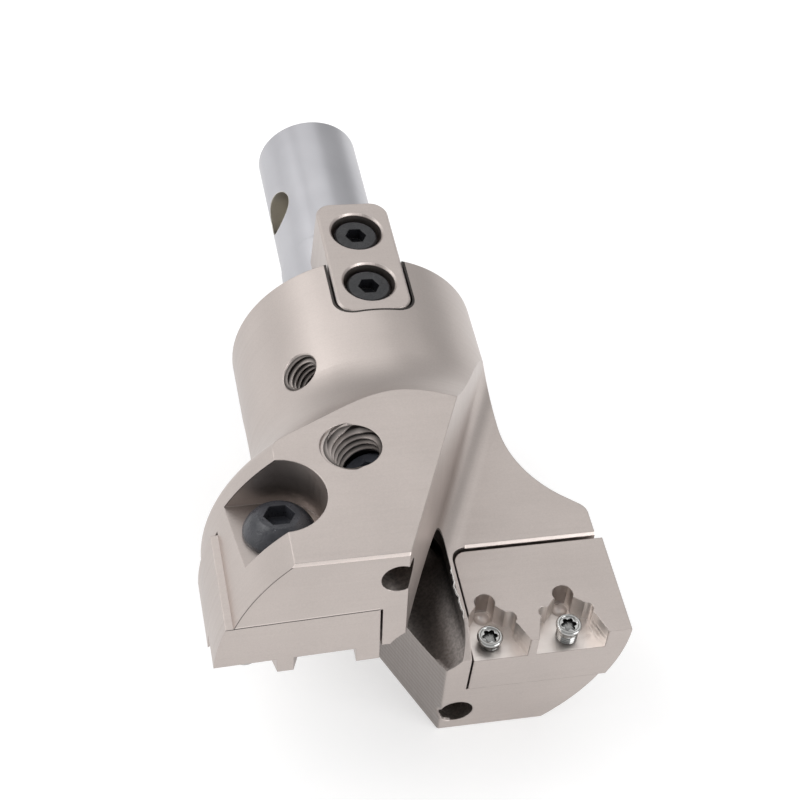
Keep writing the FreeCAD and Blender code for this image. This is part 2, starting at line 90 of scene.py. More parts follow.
# Floor: half its side in metres, its paint, and the light that makes it look white
FLOOR_HALF = 6.0
FLOOR_PAINT = 0.62
FLOOR_LIFT = 0.50

# Tapped holes in the turned body, in the drill's own axes. A bottom is a distance from the drill's axis.
SIDE_HOLE_R = 3.0
SIDE_HOLE_ANGLE = 230.9
SIDE_HOLE_Z = 43.3
SIDE_HOLE_BOTTOM = 9.3
SIDE_PITCH = 1.0
SIDE_RIDGE_START = 0.25
SIDE_RIDGE_LEN = 10.0
SIDE_FLARE = 0.35

# Tapped holes in the back flats, in the drill's own axes
PLUG_HOLE_R = 4.025
PLUG_AT = (-8.6, -22.5, 21.5)
PLUG_HOLE_BOTTOM = 8.5
PLUG_PITCH = 1.25
PLUG_RIDGE_START = -2.4
PLUG_RIDGE_LEN = 9.1
PLUG_FLARE = 0.4

# Ridge of a tapped thread, in shares of the pitch: height, half width at the foot and at the crest
RIDGE_HEIGHT = 0.58
RIDGE_FOOT = 0.47
RIDGE_CREST = 0.08

# The ridge reaches this far into the wall and ends this far under the surface of the head, and in a back flat
# it is also cut level. At its inner end it thins out over a share of a turn. The least height and width are
# shares of the full ones.
RIDGE_SINK = 0.05
RIDGE_UNDER = 0.08
LEVEL_UNDER = 0.06
RIDGE_RUN_OUT = 0.3
LEAST_HEIGHT = 0.02
LEAST_WIDTH = 0.3
STEPS_PER_TURN = 64

# Insert screws: foot of each head in the drill's own axes, before the left cartridge leans and turns, and the
# length of the thick neck under the head
INSERT_SCREWS = {
    "insert_screw_right_inner": (10.45, 3.45, 3.3, 0.28),
    "insert_screw_right_outer": (22.3, 2.25, 3.0, 1.48),
    "insert_screw_left_inner": (15.1, 2.35, 3.3, 0.38),
    "insert_screw_left_outer": (26.6, 2.35, 3.0, 0.38),
}
LEFT_PIVOT = (17.5, 10.8)
LEFT_LEAN = 2.4
SCREW_HEAD_R = 1.95
SCREW_TOP = 1.5
SCREW_NECK_R = 1.66
SCREW_THREAD_R = 1.25
SCREW_LEN = 5.9
SCREW_PITCH = 0.45
SCREW_ROOT = 0.24
SCREW_RIDGE = 0.23
SCREW_TIP = 0.6
RIM_BEND = 0.36
POINTS_PER_RING = 72
RINGS_PER_PITCH = 8

# Rings of the head as pairs of radius and depth under the top: the six-lobe socket, and the round step
# outside it. Then the depth of the foot of the head.
SOCKET_RINGS = ((0.80, 0.85), (1.16, 0.80), (1.20, 0.22), (1.27, 0.17))
STEP_RINGS = ((1.38, 0.17), (1.44, 0.13), (1.50, 0.01))
HEAD_FOOT = 0.86

# Burr on the thin wall beside the blind bore: its line, radius, and the share of its length over which each
# end thins out. Its waves are height, and rate and phase in radians over the burr's length.
BURR_X = 6.50
BURR_Z = 0.61
BURR_START = -47.0
BURR_LEN = 11.2
BURR_R = 0.15
BURR_TIP_R = 0.02
BURR_TAPER = 1 / 6
BURR_FLATNESS = 0.9
BURR_WAVES = ((0.12, 9.0, 0.6), (0.084, 23.0, 0.0), (0.048, 51.0, 1.0))
BURR_STEPS = 90
BURR_SIDES = 8

# Blind bore and coolant holes at the cutting end: radius just past the wall, and the end of the hole.
# Painted shade darkens the bore along X and Y between two limits, and the coolant holes a little. The middles
# of the coolant holes are given in X and Z.
BORE_R = 6.6
BORE_END = -34.0
BORE_SHADE_X = (-5.5, 5.5)
BORE_SHADE_Y = (-60.0, -44.0)
COOLANT_HOLES = ((-5.2, 17.5), (6.3, -17.5))
COOLANT_R = 2.66
COOLANT_END = -47.5

# Box round the insert pockets of the right cartridge, which are lightened with painted light
POCKETS_LOW = (7.6, -62.7, -5.0)
POCKETS_HIGH = (28.5, -54.1, 0.29)

# Leaning wall of the left flute: its normal and top, how dark painted shade makes it for the way it faces,
# and the stripes on it.
# The stripes turn by this many radians a metre, and their bend is in radians.
LEFT_WALL_NORMAL = (-0.912, -0.408, -0.048)
LEFT_WALL_TOP = -1.2
LEFT_WALL_SOFT = 0.7
LEFT_WALL_PAINTED_SHADE = 0.42
STRIPE_RATE = 6100.0
STRIPE_BEND = 5.0
STRIPE_SHADE = 0.04

# Chamfers that face forward and up get a painted highlight. The bevel of the thin wall, in a strip of X,
# isn't one of them.
HIGHLIGHT_NORMAL = (0, -0.707, 0.707)
CHAMFER_HIGHLIGHT = 0.85
THIN_WALL_X = 5.4
THIN_WALL_HALF = 1.9

# Radius of the edges, and of the worn corner where the left flute's wall meets the end face
EDGE_R = 0.2
CORNER_R = 0.9
CORNER_X = 3.7
CORNER_HALF = 2.0
CORNER_Y = -60.2
CORNER_Z = -3.5

# Painted shadow of the gap round the key, drawn as a dark line: half width, front end and corner radius of
# the slot, its turn about the axis, the lowest height of the line, and the line's edges, measured out from
# the slot
SLOT_HALF = 6.2
SLOT_FRONT = -11.9
SLOT_CORNER = 3.1
KEY_TURN = 2.3
SLOT_LINE_Z = 17.0
SLOT_LINE_IN = -0.04
SLOT_LINE_OUT = 0.36
SLOT_SHADE = 0.88

# Painted shade in the roots of the tapped threads: how dark, and how far inside the wall it is darkest
THREAD_SHADE = 0.78
THREAD_DARK = 0.1

# Seam between the head and the left cartridge: normal of the seat, its distance, half width, inner end and
# how far the line wanders, then how dark the painted shade in the gap is, how much lighter the line above it
# is, and how far above the gap
SEAM_NORMAL = (-0.0419, 0, 0.9991)
SEAM_AWAY = 11.523
SEAM_HALF = 0.10
SEAM_END = -7.6
SEAM_WANDER = 0.08
SEAM_SHADE = 0.72
SEAM_LIGHT_LINE = 0.28
SEAM_LIGHT_LINE_AWAY = 0.22

# Dark line at the outside of the left wing: its width, lowest height and shade
WING_LINE_WIDTH = 0.17
WING_LINE_Z = 10.2
WING_LINE_SHADE = 0.62

# Cross hole of the spigot
CROSS_HOLE_R = 3.8
CROSS_HOLE_Y = 30.2
CROSS_HOLE_TURN = 19.5

# A mask of a hole's wall reaches this far past the wall
WALL_MARGIN = 0.05

# The set screws lie in front of one Y and within one X, and the screws of the key behind another Y.
# Each kind has its own level of the black screws' colour, which is 1 for the others. The set screws deep in
# their holes are lifted by painted light.
SET_SCREW_Y = -30.0
SET_SCREW_X = 12.5
SET_SCREW_PAINTED_LIGHT = 5.0
KEY_SCREW_Y = -20.0
KEY_SCREW_LEVEL = 0.3

# Colours
NICKEL_DARK = (0.474, 0.424, 0.399)
NICKEL_LIGHT = (0.522, 0.467, 0.439)
# Lighter colour of the right cartridge's pockets, as painted light
NICKEL_POCKET_LIGHT = (0.78, 0.725, 0.69)
GROUND_DARK = (0.464, 0.461, 0.484)
GROUND_LIGHT = (0.505, 0.502, 0.525)
# Lighter colour on the wall of the spigot's cross hole, as painted light
GROUND_CROSS_HOLE_LIGHT = (0.74, 0.71, 0.65)
BLACK_DARK = (0.028, 0.030, 0.037)
BLACK_LIGHT = (0.050, 0.051, 0.060)
# Light colours of the burr, a painted highlight along the thin wall's edge
BURR_HIGHLIGHT_DIM = (0.72, 0.70, 0.68)
BURR_HIGHLIGHT_BRIGHT = (0.88, 0.86, 0.84)
BRIGHT_DARK = (0.42, 0.42, 0.41)
BRIGHT_LIGHT = (0.51, 0.51, 0.50)


# Frames


def drill_point(x, y, z):
    """From the drill's own axes in millimetres to the frame of the scene in metres."""
    return Vector((x, z - HEAD_LEN, -y)) * MM


def drill_dir(x, y, z):
    """From the drill's own axes to the frame of the scene, as a unit vector."""
    return Vector((x, z, -y)).normalized()


def side_hole(side):
    """Mouth of a tapped hole in the turned body, and the direction in which it opens. The side is 1 for the
    left hole and -1 for the right one, which lies half a turn further."""
    a = math.radians(SIDE_HOLE_ANGLE)
    x = side * math.cos(a)
    y = side * math.sin(a)
    return drill_point(BODY_R * x, BODY_R * y, SIDE_HOLE_Z), drill_dir(x, y, 0)


def plug_hole(side):
    """The same for a tapped hole in a back flat."""
    x, y, z = PLUG_AT
    return drill_point(side * x, side * y, z), drill_dir(side * x, side * y, 0)


# Node helpers, where a value is a number or the output of another node


def new_material(name):
    mat = bpy.data.materials.new(name)
    mat.use_nodes = True
    mat.node_tree.nodes.clear()
    return mat, mat.node_tree


def feed(tree, socket, value):
    """Sets a socket to a number, or joins another node's output to it."""
    if isinstance(value, (int, float)):
        socket.default_value = value
    else:
        tree.links.new(value, socket)


def math_node(tree, kind, *values):
    node = tree.nodes.new("ShaderNodeMath")
    node.operation = kind
    for socket, value in zip(node.inputs, values):
        feed(tree, socket, value)
    return node.outputs["Value"]


def plus(tree, a, b):
    return math_node(tree, "ADD", a, b)


def minus(tree, a, b):
    return math_node(tree, "SUBTRACT", a, b)


def times(tree, product, *factors):
    for factor in factors:
        product = math_node(tree, "MULTIPLY", product, factor)
    return product


def less(tree, a, b):
    """1 where a is less than b, 0 elsewhere."""
    return math_node(tree, "LESS_THAN", a, b)


def greater(tree, a, b):
    return math_node(tree, "GREATER_THAN", a, b)


def absolute(tree, a):
    return math_node(tree, "ABSOLUTE", a)


def mixed(tree, factor, a, b):
    """a where the factor is 0, b where it is 1."""
    return plus(tree, times(tree, minus(tree, 1.0, factor), a), times(tree, factor, b))


def darkened(tree, mask, amount):
    """1 where the mask is 0, and less by the amount where it is 1."""
    return minus(tree, 1.0, times(tree, mask, amount))


def remap(tree, value, low, high, out_low=0.0, out_high=1.0):
    node = tree.nodes.new("ShaderNodeMapRange")
    node.inputs["From Min"].default_value = low
    node.inputs["From Max"].default_value = high
    node.inputs["To Min"].default_value = out_low
    node.inputs["To Max"].default_value = out_high
    tree.links.new(value, node.inputs["Value"])
    return node.outputs["Result"]


def vector_node(tree, kind, vector, other=None):
    node = tree.nodes.new("ShaderNodeVectorMath")
    node.operation = kind
    tree.links.new(vector, node.inputs[0])
    if other is not None:
        node.inputs[1].default_value = other
    return node.outputs["Value" if kind in ("LENGTH", "DOT_PRODUCT") else "Vector"]


def axes(tree, vector):
    """The three parts X, Y and Z of a vector."""
    split = tree.nodes.new("ShaderNodeSeparateXYZ")
    tree.links.new(vector, split.inputs["Vector"])
    return split.outputs["X"], split.outputs["Y"], split.outputs["Z"]


def object_place(tree):
    """Place of a point on the object, in metres."""
    return tree.nodes.new("ShaderNodeTexCoord").outputs["Object"]


def face_normal(tree):
    return tree.nodes.new("ShaderNodeNewGeometry").outputs["True Normal"]


def facing(tree, normal, direction, low, high):
    """0 to 1 as the angle between a normal and a direction closes."""
    return remap(tree, vector_node(tree, "DOT_PRODUCT", normal, direction), low, high)


def on_end_face(tree):
    """1 on faces that look forward, away from the spigot."""
    return facing(tree, face_normal(tree), (0, -1, 0), 0.85, 0.95)


def off_axis(tree, place, at, direction):
    """Distance of a place from the line through the point at, all in metres."""
    shift = vector_node(tree, "SUBTRACT", place, at)
    return vector_node(tree, "LENGTH", vector_node(tree, "CROSS_PRODUCT", shift, direction))


def in_bore(tree, place, x, z, radius):
    """1 within a bore along Y through the point x, z (in millimetres), 0 beyond it."""
    return less(tree, off_axis(tree, place, Vector((x, 0, z)) * MM, AXIS), radius * MM)


def noise(tree, vector, scale, detail):
    node = tree.nodes.new("ShaderNodeTexNoise")
    node.inputs["Scale"].default_value = scale
    node.inputs["Detail"].default_value = detail
    tree.links.new(vector, node.inputs["Vector"])
    return node.outputs["Fac"]


def stretched_noise(tree, place, scales, detail):
    """Noise with its own scale along X, Y and Z."""
    mapping = tree.nodes.new("ShaderNodeMapping")
    mapping.inputs["Scale"].default_value = scales
    tree.links.new(place, mapping.inputs["Vector"])
    return noise(tree, mapping.outputs["Vector"], 1.0, detail)


def tint(tree, factor, dark, light):
    ramp = tree.nodes.new("ShaderNodeValToRGB")
    ramp.color_ramp.elements[0].color = (*dark, 1)
    ramp.color_ramp.elements[1].color = (*light, 1)
    tree.links.new(factor, ramp.inputs["Fac"])
    return ramp.outputs["Color"]


def scaled_color(tree, color, level):
    scale = tree.nodes.new("ShaderNodeVectorMath")
    scale.operation = "SCALE"
    tree.links.new(color, scale.inputs[0])
    tree.links.new(level, scale.inputs["Scale"])
    return scale.outputs["Vector"]


def blended(tree, factor, color, other):
    """The first colour where the factor is 0, the other where it is 1."""
    mix = tree.nodes.new("ShaderNodeMix")
    mix.data_type = "RGBA"
    tree.links.new(factor, mix.inputs[0])
    tree.links.new(color, mix.inputs[6])
    mix.inputs[7].default_value = (*other, 1)
    return mix.outputs[2]


def soft_normal(tree, radius):
    """Normal with the edges rounded by a radius in metres."""
    edge = tree.nodes.new("ShaderNodeBevel")
    edge.samples = 4
    feed(tree, edge.inputs["Radius"], radius)
    return edge.outputs["Normal"]


def finish_tree(tree, color, roughness, height, bump, edge_radius, metallic=1.0):
    """Shader and output of a material. The bump is a share of 0.2 mm, and the edge radius is in metres."""
    shader = tree.nodes.new("ShaderNodeBsdfPrincipled")
    shader.inputs["Metallic"].default_value = metallic
    tree.links.new(color, shader.inputs["Base Color"])
    tree.links.new(roughness, shader.inputs["Roughness"])
    relief = tree.nodes.new("ShaderNodeBump")
    relief.inputs["Distance"].default_value = 0.2 * MM
    relief.inputs["Strength"].default_value = bump
    tree.links.new(height, relief.inputs["Height"])
    tree.links.new(soft_normal(tree, edge_radius), relief.inputs["Normal"])
    tree.links.new(relief.outputs["Normal"], shader.inputs["Normal"])
    out = tree.nodes.new("ShaderNodeOutputMaterial")
    tree.links.new(shader.outputs["BSDF"], out.inputs["Surface"])


# Nickel plate


def tool_marks(tree, place):
    """Fine lines left by the tools: rings on turned faces, lines along X on faces that look along Y."""
    rings = stretched_noise(tree, place, scales=(60, 2600, 60), detail=3.0)
    lines = stretched_noise(tree, place, scales=(60, 60, 2600), detail=3.0)
    normal = tree.nodes.new("ShaderNodeNewGeometry").outputs["Normal"]
    along_y = absolute(tree, axes(tree, normal)[1])
    return mixed(tree, remap(tree, along_y, 0.7, 0.9), rings, lines)


def painted_bore_shade(tree, place):
    """How light the plating is: 1 outside, and painted shade inside the blind bore and the coolant holes at
    the cutting end. The bore darkens deeper in and towards +X, and both have random mottling.
    """
    x, y, _ = axes(tree, place)
    across = remap(tree, x, BORE_SHADE_X[0] * MM, BORE_SHADE_X[1] * MM, 1.05, 0.52)
    depth = remap(tree, y, BORE_SHADE_Y[0] * MM, BORE_SHADE_Y[1] * MM, 1.0, 0.34)
    spots = remap(tree, noise(tree, place, scale=2200.0, detail=3.0), 0.35, 0.65, 0.8, 1.2)
    bore = times(tree, less(tree, y, BORE_END * MM), in_bore(tree, place, 0.0, 0.0, BORE_R))
    # Painted shade in the blind bore, darker deeper in and towards +X
    level = mixed(tree, bore, 1.0, times(tree, across, depth, spots))
    tip = less(tree, y, COOLANT_END * MM)
    for hole_x, hole_z in COOLANT_HOLES:
        hole = times(tree, tip, in_bore(tree, place, hole_x, hole_z, COOLANT_R))
        # Painted shade in the coolant holes
        level = mixed(tree, hole, level, times(tree, spots, 0.9))
    return level


def painted_pocket_light(tree, place):
    """1 in the pockets of the right cartridge, where painted light gives the metal a lighter colour."""
    mask = 1.0
    for value, low, high in zip(axes(tree, place), POCKETS_LOW, POCKETS_HIGH):
        mask = times(tree, mask, greater(tree, value, low * MM), less(tree, value, high * MM))
    return mask


def milled_wall(tree, place):
    """Mask of the leaning wall of the left flute, which painted shade darkens, and the stripes that the
    cutter left along it.
    """
    z = axes(tree, place)[2]
    normal = soft_normal(tree, LEFT_WALL_SOFT * MM)
    low = less(tree, z, LEFT_WALL_TOP * MM)
    mask = times(tree, facing(tree, normal, LEFT_WALL_NORMAL, 0.80, 0.99), low)
    bend = stretched_noise(tree, place, scales=(40, 40, 700), detail=2.0)
    phase = plus(tree, times(tree, z, STRIPE_RATE), times(tree, bend, STRIPE_BEND))
    return mask, times(tree, mask, math_node(tree, "SINE", phase))


def painted_chamfer_highlight(tree, place):
    """Painted highlight on the chamfers that face forward and up."""
    x = axes(tree, place)[0]
    highlight = times(tree, facing(tree, face_normal(tree), HIGHLIGHT_NORMAL, 0.955, 0.985), CHAMFER_HIGHLIGHT)
    off = absolute(tree, minus(tree, x, THIN_WALL_X * MM))
    return times(tree, highlight, greater(tree, off, THIN_WALL_HALF * MM))


def worn_corner(tree, place):
    """Radius of the edges in metres: larger at the worn corner."""
    x, y, z = axes(tree, place)
    off = absolute(tree, minus(tree, x, CORNER_X * MM))
    side = less(tree, off, CORNER_HALF * MM)
    mask = times(tree, side, less(tree, y, CORNER_Y * MM), less(tree, z, CORNER_Z * MM))
    return plus(tree, EDGE_R * MM, times(tree, mask, (CORNER_R - EDGE_R) * MM))


def painted_slot_shadow(tree, place):
    """1 on the painted shadow of the gap round the key: a dark line where its slot opens in the turned body.
    """
    turn = tree.nodes.new("ShaderNodeMapping")
    turn.inputs["Rotation"].default_value = (0, math.radians(-KEY_TURN), 0)
    tree.links.new(place, turn.inputs["Vector"])
    x, y, z = axes(tree, turn.outputs["Vector"])
    dx = minus(tree, absolute(tree, x), (SLOT_HALF - SLOT_CORNER) * MM)
    dy = minus(tree, (SLOT_FRONT + SLOT_CORNER) * MM, y)
    dx = math_node(tree, "MAXIMUM", dx, 0.0)
    dy = math_node(tree, "MAXIMUM", dy, 0.0)
    square = plus(tree, times(tree, dx, dx), times(tree, dy, dy))
    away = minus(tree, math_node(tree, "SQRT", square), SLOT_CORNER * MM)
    beyond = greater(tree, away, SLOT_LINE_IN * MM)
    within = less(tree, away, SLOT_LINE_OUT * MM)
    return times(tree, beyond, within, greater(tree, z, SLOT_LINE_Z * MM))


def painted_thread_shade(tree, place, hole, radius, pitch, bottom):
    """How light the plating is in a tapped hole and in the one opposite: painted shade in the roots of the
    thread.
    """
    mouth, outward = hole
    off = off_axis(tree, place, mouth, outward)
    inside = less(tree, off, (radius + WALL_MARGIN) * MM)
    deep = greater(tree, absolute(tree, vector_node(tree, "DOT_PRODUCT", place, outward)), bottom * MM)
    root = remap(tree, off, (radius - RIDGE_HEIGHT * pitch) * MM, (radius - THREAD_DARK) * MM)
    return darkened(tree, times(tree, root, inside, deep), THREAD_SHADE)


def tapped_holes(tree, place):
    """How light the plating is in the four tapped holes, with painted shade in the thread roots."""
    side = painted_thread_shade(tree, place, side_hole(1), SIDE_HOLE_R, SIDE_PITCH, SIDE_HOLE_BOTTOM)
    plug = painted_thread_shade(tree, place, plug_hole(1), PLUG_HOLE_R, PLUG_PITCH, PLUG_HOLE_BOTTOM)
    return times(tree, side, plug)


def seam_line(tree, place):
    """How light the plating is along the left seam, on the end face: painted shade in the gap, and a lighter
    line just above it.
    """
    x = axes(tree, place)[0]
    wander = times(tree, minus(tree, noise(tree, place, scale=500.0, detail=3.0), 0.5), SEAM_WANDER * MM)
    away = plus(tree, vector_node(tree, "DOT_PRODUCT", place, SEAM_NORMAL), wander)
    gap = minus(tree, away, SEAM_AWAY * MM)
    # Painted shade in the gap
    dark = less(tree, absolute(tree, gap), SEAM_HALF * MM)
    # A lighter line just above the gap
    worn = less(tree, absolute(tree, minus(tree, gap, SEAM_LIGHT_LINE_AWAY * MM)), SEAM_HALF * MM)
    end = times(tree, less(tree, x, SEAM_END * MM), on_end_face(tree))
    change = minus(tree, times(tree, worn, SEAM_LIGHT_LINE), times(tree, dark, SEAM_SHADE))
    return plus(tree, 1.0, times(tree, end, change))


def wing_rim(tree, place):
    """1 on the fine dark line where the end face meets the outside of the left wing."""
    x, _, z = axes(tree, place)
    outer = greater(tree, off_axis(tree, place, (0, 0, 0), AXIS), (WING_R - WING_LINE_WIDTH) * MM)
    left = less(tree, x, 0.0)
    high = greater(tree, z, WING_LINE_Z * MM)
    return times(tree, outer, on_end_face(tree), left, high)


def nickel_level(tree, place, wall, stripes):
    """How light the plating is at each place, as a share of its colour: painted shade in the bores, on the
    leaning flute wall, in the gap round the key, in the left seam and in the thread roots, painted highlights
    on the chamfers, the milled stripes, the lighter line at the seam and the dark line at the left wing.
    """
    # Painted shade in the blind bores and on the leaning wall of the left flute
    level = minus(tree, painted_bore_shade(tree, place), times(tree, wall, LEFT_WALL_PAINTED_SHADE))
    level = plus(tree, level, times(tree, stripes, STRIPE_SHADE))
    # Painted highlight on the chamfers
    level = plus(tree, level, painted_chamfer_highlight(tree, place))
    # Painted shadow of the gap round the key
    line = darkened(tree, painted_slot_shadow(tree, place), SLOT_SHADE)
    rim = darkened(tree, wing_rim(tree, place), WING_LINE_SHADE)
    return times(tree, level, line, rim, seam_line(tree, place), tapped_holes(tree, place))


def nickel_material():
    mat, tree = new_material("nickel_plate")
    place = object_place(tree)
    marks = tool_marks(tree, place)
    grain = noise(tree, place, scale=4200.0, detail=2.0)
    cloud = noise(tree, place, scale=90.0, detail=3.0)
    wall, stripes = milled_wall(tree, place)
    clouds = times(tree, plus(tree, cloud, grain), 0.5)
    color = tint(tree, remap(tree, clouds, 0.35, 0.65), NICKEL_DARK, NICKEL_LIGHT)
    # Painted shade and highlights, with the stripes and lines, scale the colour
    color = scaled_color(tree, color, nickel_level(tree, place, wall, stripes))
    # Painted light in the pockets of the right cartridge
    color = blended(tree, painted_pocket_light(tree, place), color, NICKEL_POCKET_LIGHT)
    rough = remap(tree, marks, 0.3, 0.7, 0.36, 0.44)
    height = plus(tree, times(tree, marks, 0.5), times(tree, grain, 0.25))
    height = plus(tree, height, times(tree, stripes, 1.5))
    finish_tree(tree, color, rough, height, bump=0.07, edge_radius=worn_corner(tree, place))
    return mat


# Other materials


def ground_material():
    mat, tree = new_material("ground_steel")
    place = object_place(tree)
    rings = stretched_noise(tree, place, scales=(90, 5200, 90), detail=2.0)
    cloud = noise(tree, place, scale=120.0, detail=2.0)
    color = tint(tree, remap(tree, cloud, 0.3, 0.7), GROUND_DARK, GROUND_LIGHT)
    a = math.radians(CROSS_HOLE_TURN)
    along = drill_dir(math.cos(a), math.sin(a), 0)
    off = off_axis(tree, place, Vector(AXIS) * CROSS_HOLE_Y * MM, along)
    # Painted light on the wall of the spigot's cross hole
    color = blended(tree, less(tree, off, (CROSS_HOLE_R + WALL_MARGIN) * MM), color, GROUND_CROSS_HOLE_LIGHT)
    rough = remap(tree, rings, 0.3, 0.7, 0.35, 0.39)
    finish_tree(tree, color, rough, rings, bump=0.012, edge_radius=0.25 * MM)
    return mat


def black_level(tree, place):
    """The set screws are greyer than the other black screws, as painted light deep in their holes, and the
    screws of the key are the blackest.
    """
    x, y, _ = axes(tree, place)
    middle = less(tree, absolute(tree, x), SET_SCREW_X * MM)
    plug = times(tree, less(tree, y, SET_SCREW_Y * MM), middle)
    key = greater(tree, y, KEY_SCREW_Y * MM)
    # Painted light on the set screws deep in the plug holes
    level = plus(tree, 1.0, times(tree, plug, SET_SCREW_PAINTED_LIGHT - 1.0))
    return minus(tree, level, times(tree, key, 1.0 - KEY_SCREW_LEVEL))


def black_material():
    mat, tree = new_material("black_oxide")
    place = object_place(tree)
    grain = noise(tree, place, scale=1500.0, detail=4.0)
    cloud = noise(tree, place, scale=420.0, detail=3.0)
    pits = remap(tree, noise(tree, place, scale=900.0, detail=2.0), 0.62, 0.70)
    color = tint(tree, remap(tree, cloud, 0.35, 0.7), BLACK_DARK, BLACK_LIGHT)
    color = scaled_color(tree, color, black_level(tree, place))
    rough = remap(tree, grain, 0.3, 0.7, 0.24, 0.42)
    height = minus(tree, grain, times(tree, pits, 0.8))
    finish_tree(tree, color, rough, height, bump=0.3, edge_radius=0.15 * MM, metallic=0.0)
    return mat


def burr_highlight_material():
    mat, tree = new_material("burr_painted_highlight")
    # Painted highlight: the burr is much lighter than the plating round it
    grain = noise(tree, object_place(tree), scale=2600.0, detail=2.0)
    color = tint(tree, grain, BURR_HIGHLIGHT_DIM, BURR_HIGHLIGHT_BRIGHT)
    rough = remap(tree, grain, 0.3, 0.7, 0.22, 0.36)
    finish_tree(tree, color, rough, grain, bump=0.05, edge_radius=0.02 * MM)
    return mat


def bright_material():
    """Bright screws, with painted shade in their sockets and threads."""
    mat, tree = new_material("bright_screw")
    grain = noise(tree, object_place(tree), scale=1800.0, detail=3.0)
    # Painted shade: ambient occlusion darkens the colour in the sockets and threads
    shade = tree.nodes.new("ShaderNodeAmbientOcclusion")
    shade.samples = 8
    shade.inputs["Distance"].default_value = 1.8 * MM
    level = remap(tree, shade.outputs["AO"], 0.50, 0.95, 0.08, 1.0)
    color = scaled_color(tree, tint(tree, grain, BRIGHT_DARK, BRIGHT_LIGHT), level)
    rough = remap(tree, grain, 0.3, 0.7, 0.16, 0.24)
    finish_tree(tree, color, rough, grain, bump=0.01, edge_radius=0.05 * MM)
    return mat


def floor_material():
    """White floor: it keeps the shadow, and what the camera and the metal see of it is lifted to white."""
    mat, tree = new_material("studio_floor")
    paint = tree.nodes.new("ShaderNodeBsdfDiffuse")
    paint.inputs["Color"].default_value = (FLOOR_PAINT, FLOOR_PAINT, FLOOR_PAINT, 1)
    path = tree.nodes.new("ShaderNodeLightPath")
    seen = math_node(tree, "MAXIMUM", path.outputs["Is Camera Ray"], path.outputs["Is Glossy Ray"])
    seen = math_node(tree, "MAXIMUM", seen, path.outputs["Is Transmission Ray"])
    lift = tree.nodes.new("ShaderNodeEmission")
    lift.inputs["Color"].default_value = (1, 1, 1, 1)
    tree.links.new(times(tree, seen, FLOOR_LIFT), lift.inputs["Strength"])
    add = tree.nodes.new("ShaderNodeAddShader")
    tree.links.new(paint.outputs["BSDF"], add.inputs[0])
    tree.links.new(lift.outputs["Emission"], add.inputs[1])
    out = tree.nodes.new("ShaderNodeOutputMaterial")
    tree.links.new(add.outputs["Shader"], out.inputs["Surface"])
    return mat


def dress_nodes(materials):
    for part in frame["record"]["subparts"]:
        node = frame["nodes"][part["node"]]
        node.data.materials.clear()
        node.data.materials.append(materials[part["material_slot"]])


# Meshes


def scene_object(name, bm, material):
    mesh = bpy.data.meshes.new(name)
    bm.to_mesh(mesh)
    bm.free()
    mesh.materials.append(material)
    made = bpy.data.objects.new(name, mesh)
    bpy.context.scene.collection.objects.link(made)
    return made


def head_piece(name, bm, material):
    bmesh.ops.recalc_face_normals(bm, faces=bm.faces)
    piece = scene_object(name, bm, material)
    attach(piece, "root")
    return piece


def smooth_faces(piece, angle):
    """Smooth shading, with sharp edges kept where faces meet at more than the angle."""
    mesh = piece.data
    for face in mesh.polygons:
        face.use_smooth = True
    bm = bmesh.new()
    bm.from_mesh(mesh)
    limit = math.radians(angle)
    for edge in bm.edges:
        if len(edge.link_faces) == 2 and edge.calc_face_angle() > limit:
            edge.smooth = False
    bm.to_mesh(mesh)
    bm.free()


def skin(bm, rings):
    """Faces between rings of vertices, and one over each end."""
    for a, b in zip(rings, rings[1:]):
        for k in range(len(a)):
            n = (k + 1) % len(a)
            bm.faces.new((a[k], a[n], b[n], b[k]))
    bm.faces.new(rings[0])
    bm.faces.new(rings[-1])


def hole_turn(outward):
    """Turns +z to the direction in which a hole opens or a screw looks."""
    return Vector((0, 0, 1)).rotation_difference(outward).to_matrix()


def put_in_place(bm, at, outward):
    """From millimetres, with +z outward, to the place and size in the scene."""
    bmesh.ops.scale(bm, vec=(MM, MM, MM), verts=bm.verts)
    bmesh.ops.transform(bm, matrix=Matrix.Translation(at) @ hole_turn(outward).to_4x4(), verts=bm.verts)


def cut_level(bm, point, normal):
    """Takes away what stands beyond a plane, and closes the cut."""
    geom = list(bm.verts) + list(bm.edges) + list(bm.faces)
    made = bmesh.ops.bisect_plane(bm, geom=geom, plane_co=point, plane_no=normal, clear_outer=True)
    edges = [e for e in made["geom_cut"] if isinstance(e, bmesh.types.BMEdge) and e.is_boundary]
    bmesh.ops.holes_fill(bm, edges=edges, sides=0)


# Threads of the tapped holes


def thread_mesh(radius, pitch, start, length, flare, below):
    """Helical ridge of an internal thread. It stands inward from the wall, from the start down into the hole
    (-z). Above the depth called flare the hole is wider, and the ridge reaches out to its wall. below tells
    how deep a point lies under the surface: where that is less than the ridge is high, the ridge is lower."""
    crest = radius - RIDGE_HEIGHT * pitch
    steps = int(length / pitch * STEPS_PER_TURN)
    bm = bmesh.new()
    rings = []
    for k in range(steps + 1):
        angle = 2 * math.pi * k / STEPS_PER_TURN
        depth = start + pitch * k / STEPS_PER_TURN
        foot = radius + RIDGE_SINK + min(flare, max(0.0, flare - depth))
        wall = Vector((foot * math.cos(angle), foot * math.sin(angle), -depth))
        sunk = max(0.0, below(wall)) / (foot - crest)
        full = max(LEAST_HEIGHT, min(1.0, sunk, (steps - k) / (RIDGE_RUN_OUT * STEPS_PER_TURN)))
        ring = []
        for r, t in ((foot, -RIDGE_FOOT), (crest, -RIDGE_CREST), (crest, RIDGE_CREST), (foot, RIDGE_FOOT)):
            reach = foot - (foot - r) * full
            z = -(depth + t * pitch * max(full, LEAST_WIDTH))
            ring.append(bm.verts.new((reach * math.cos(angle), reach * math.sin(angle), z)))
        rings.append(ring)
    skin(bm, rings)
    return bm


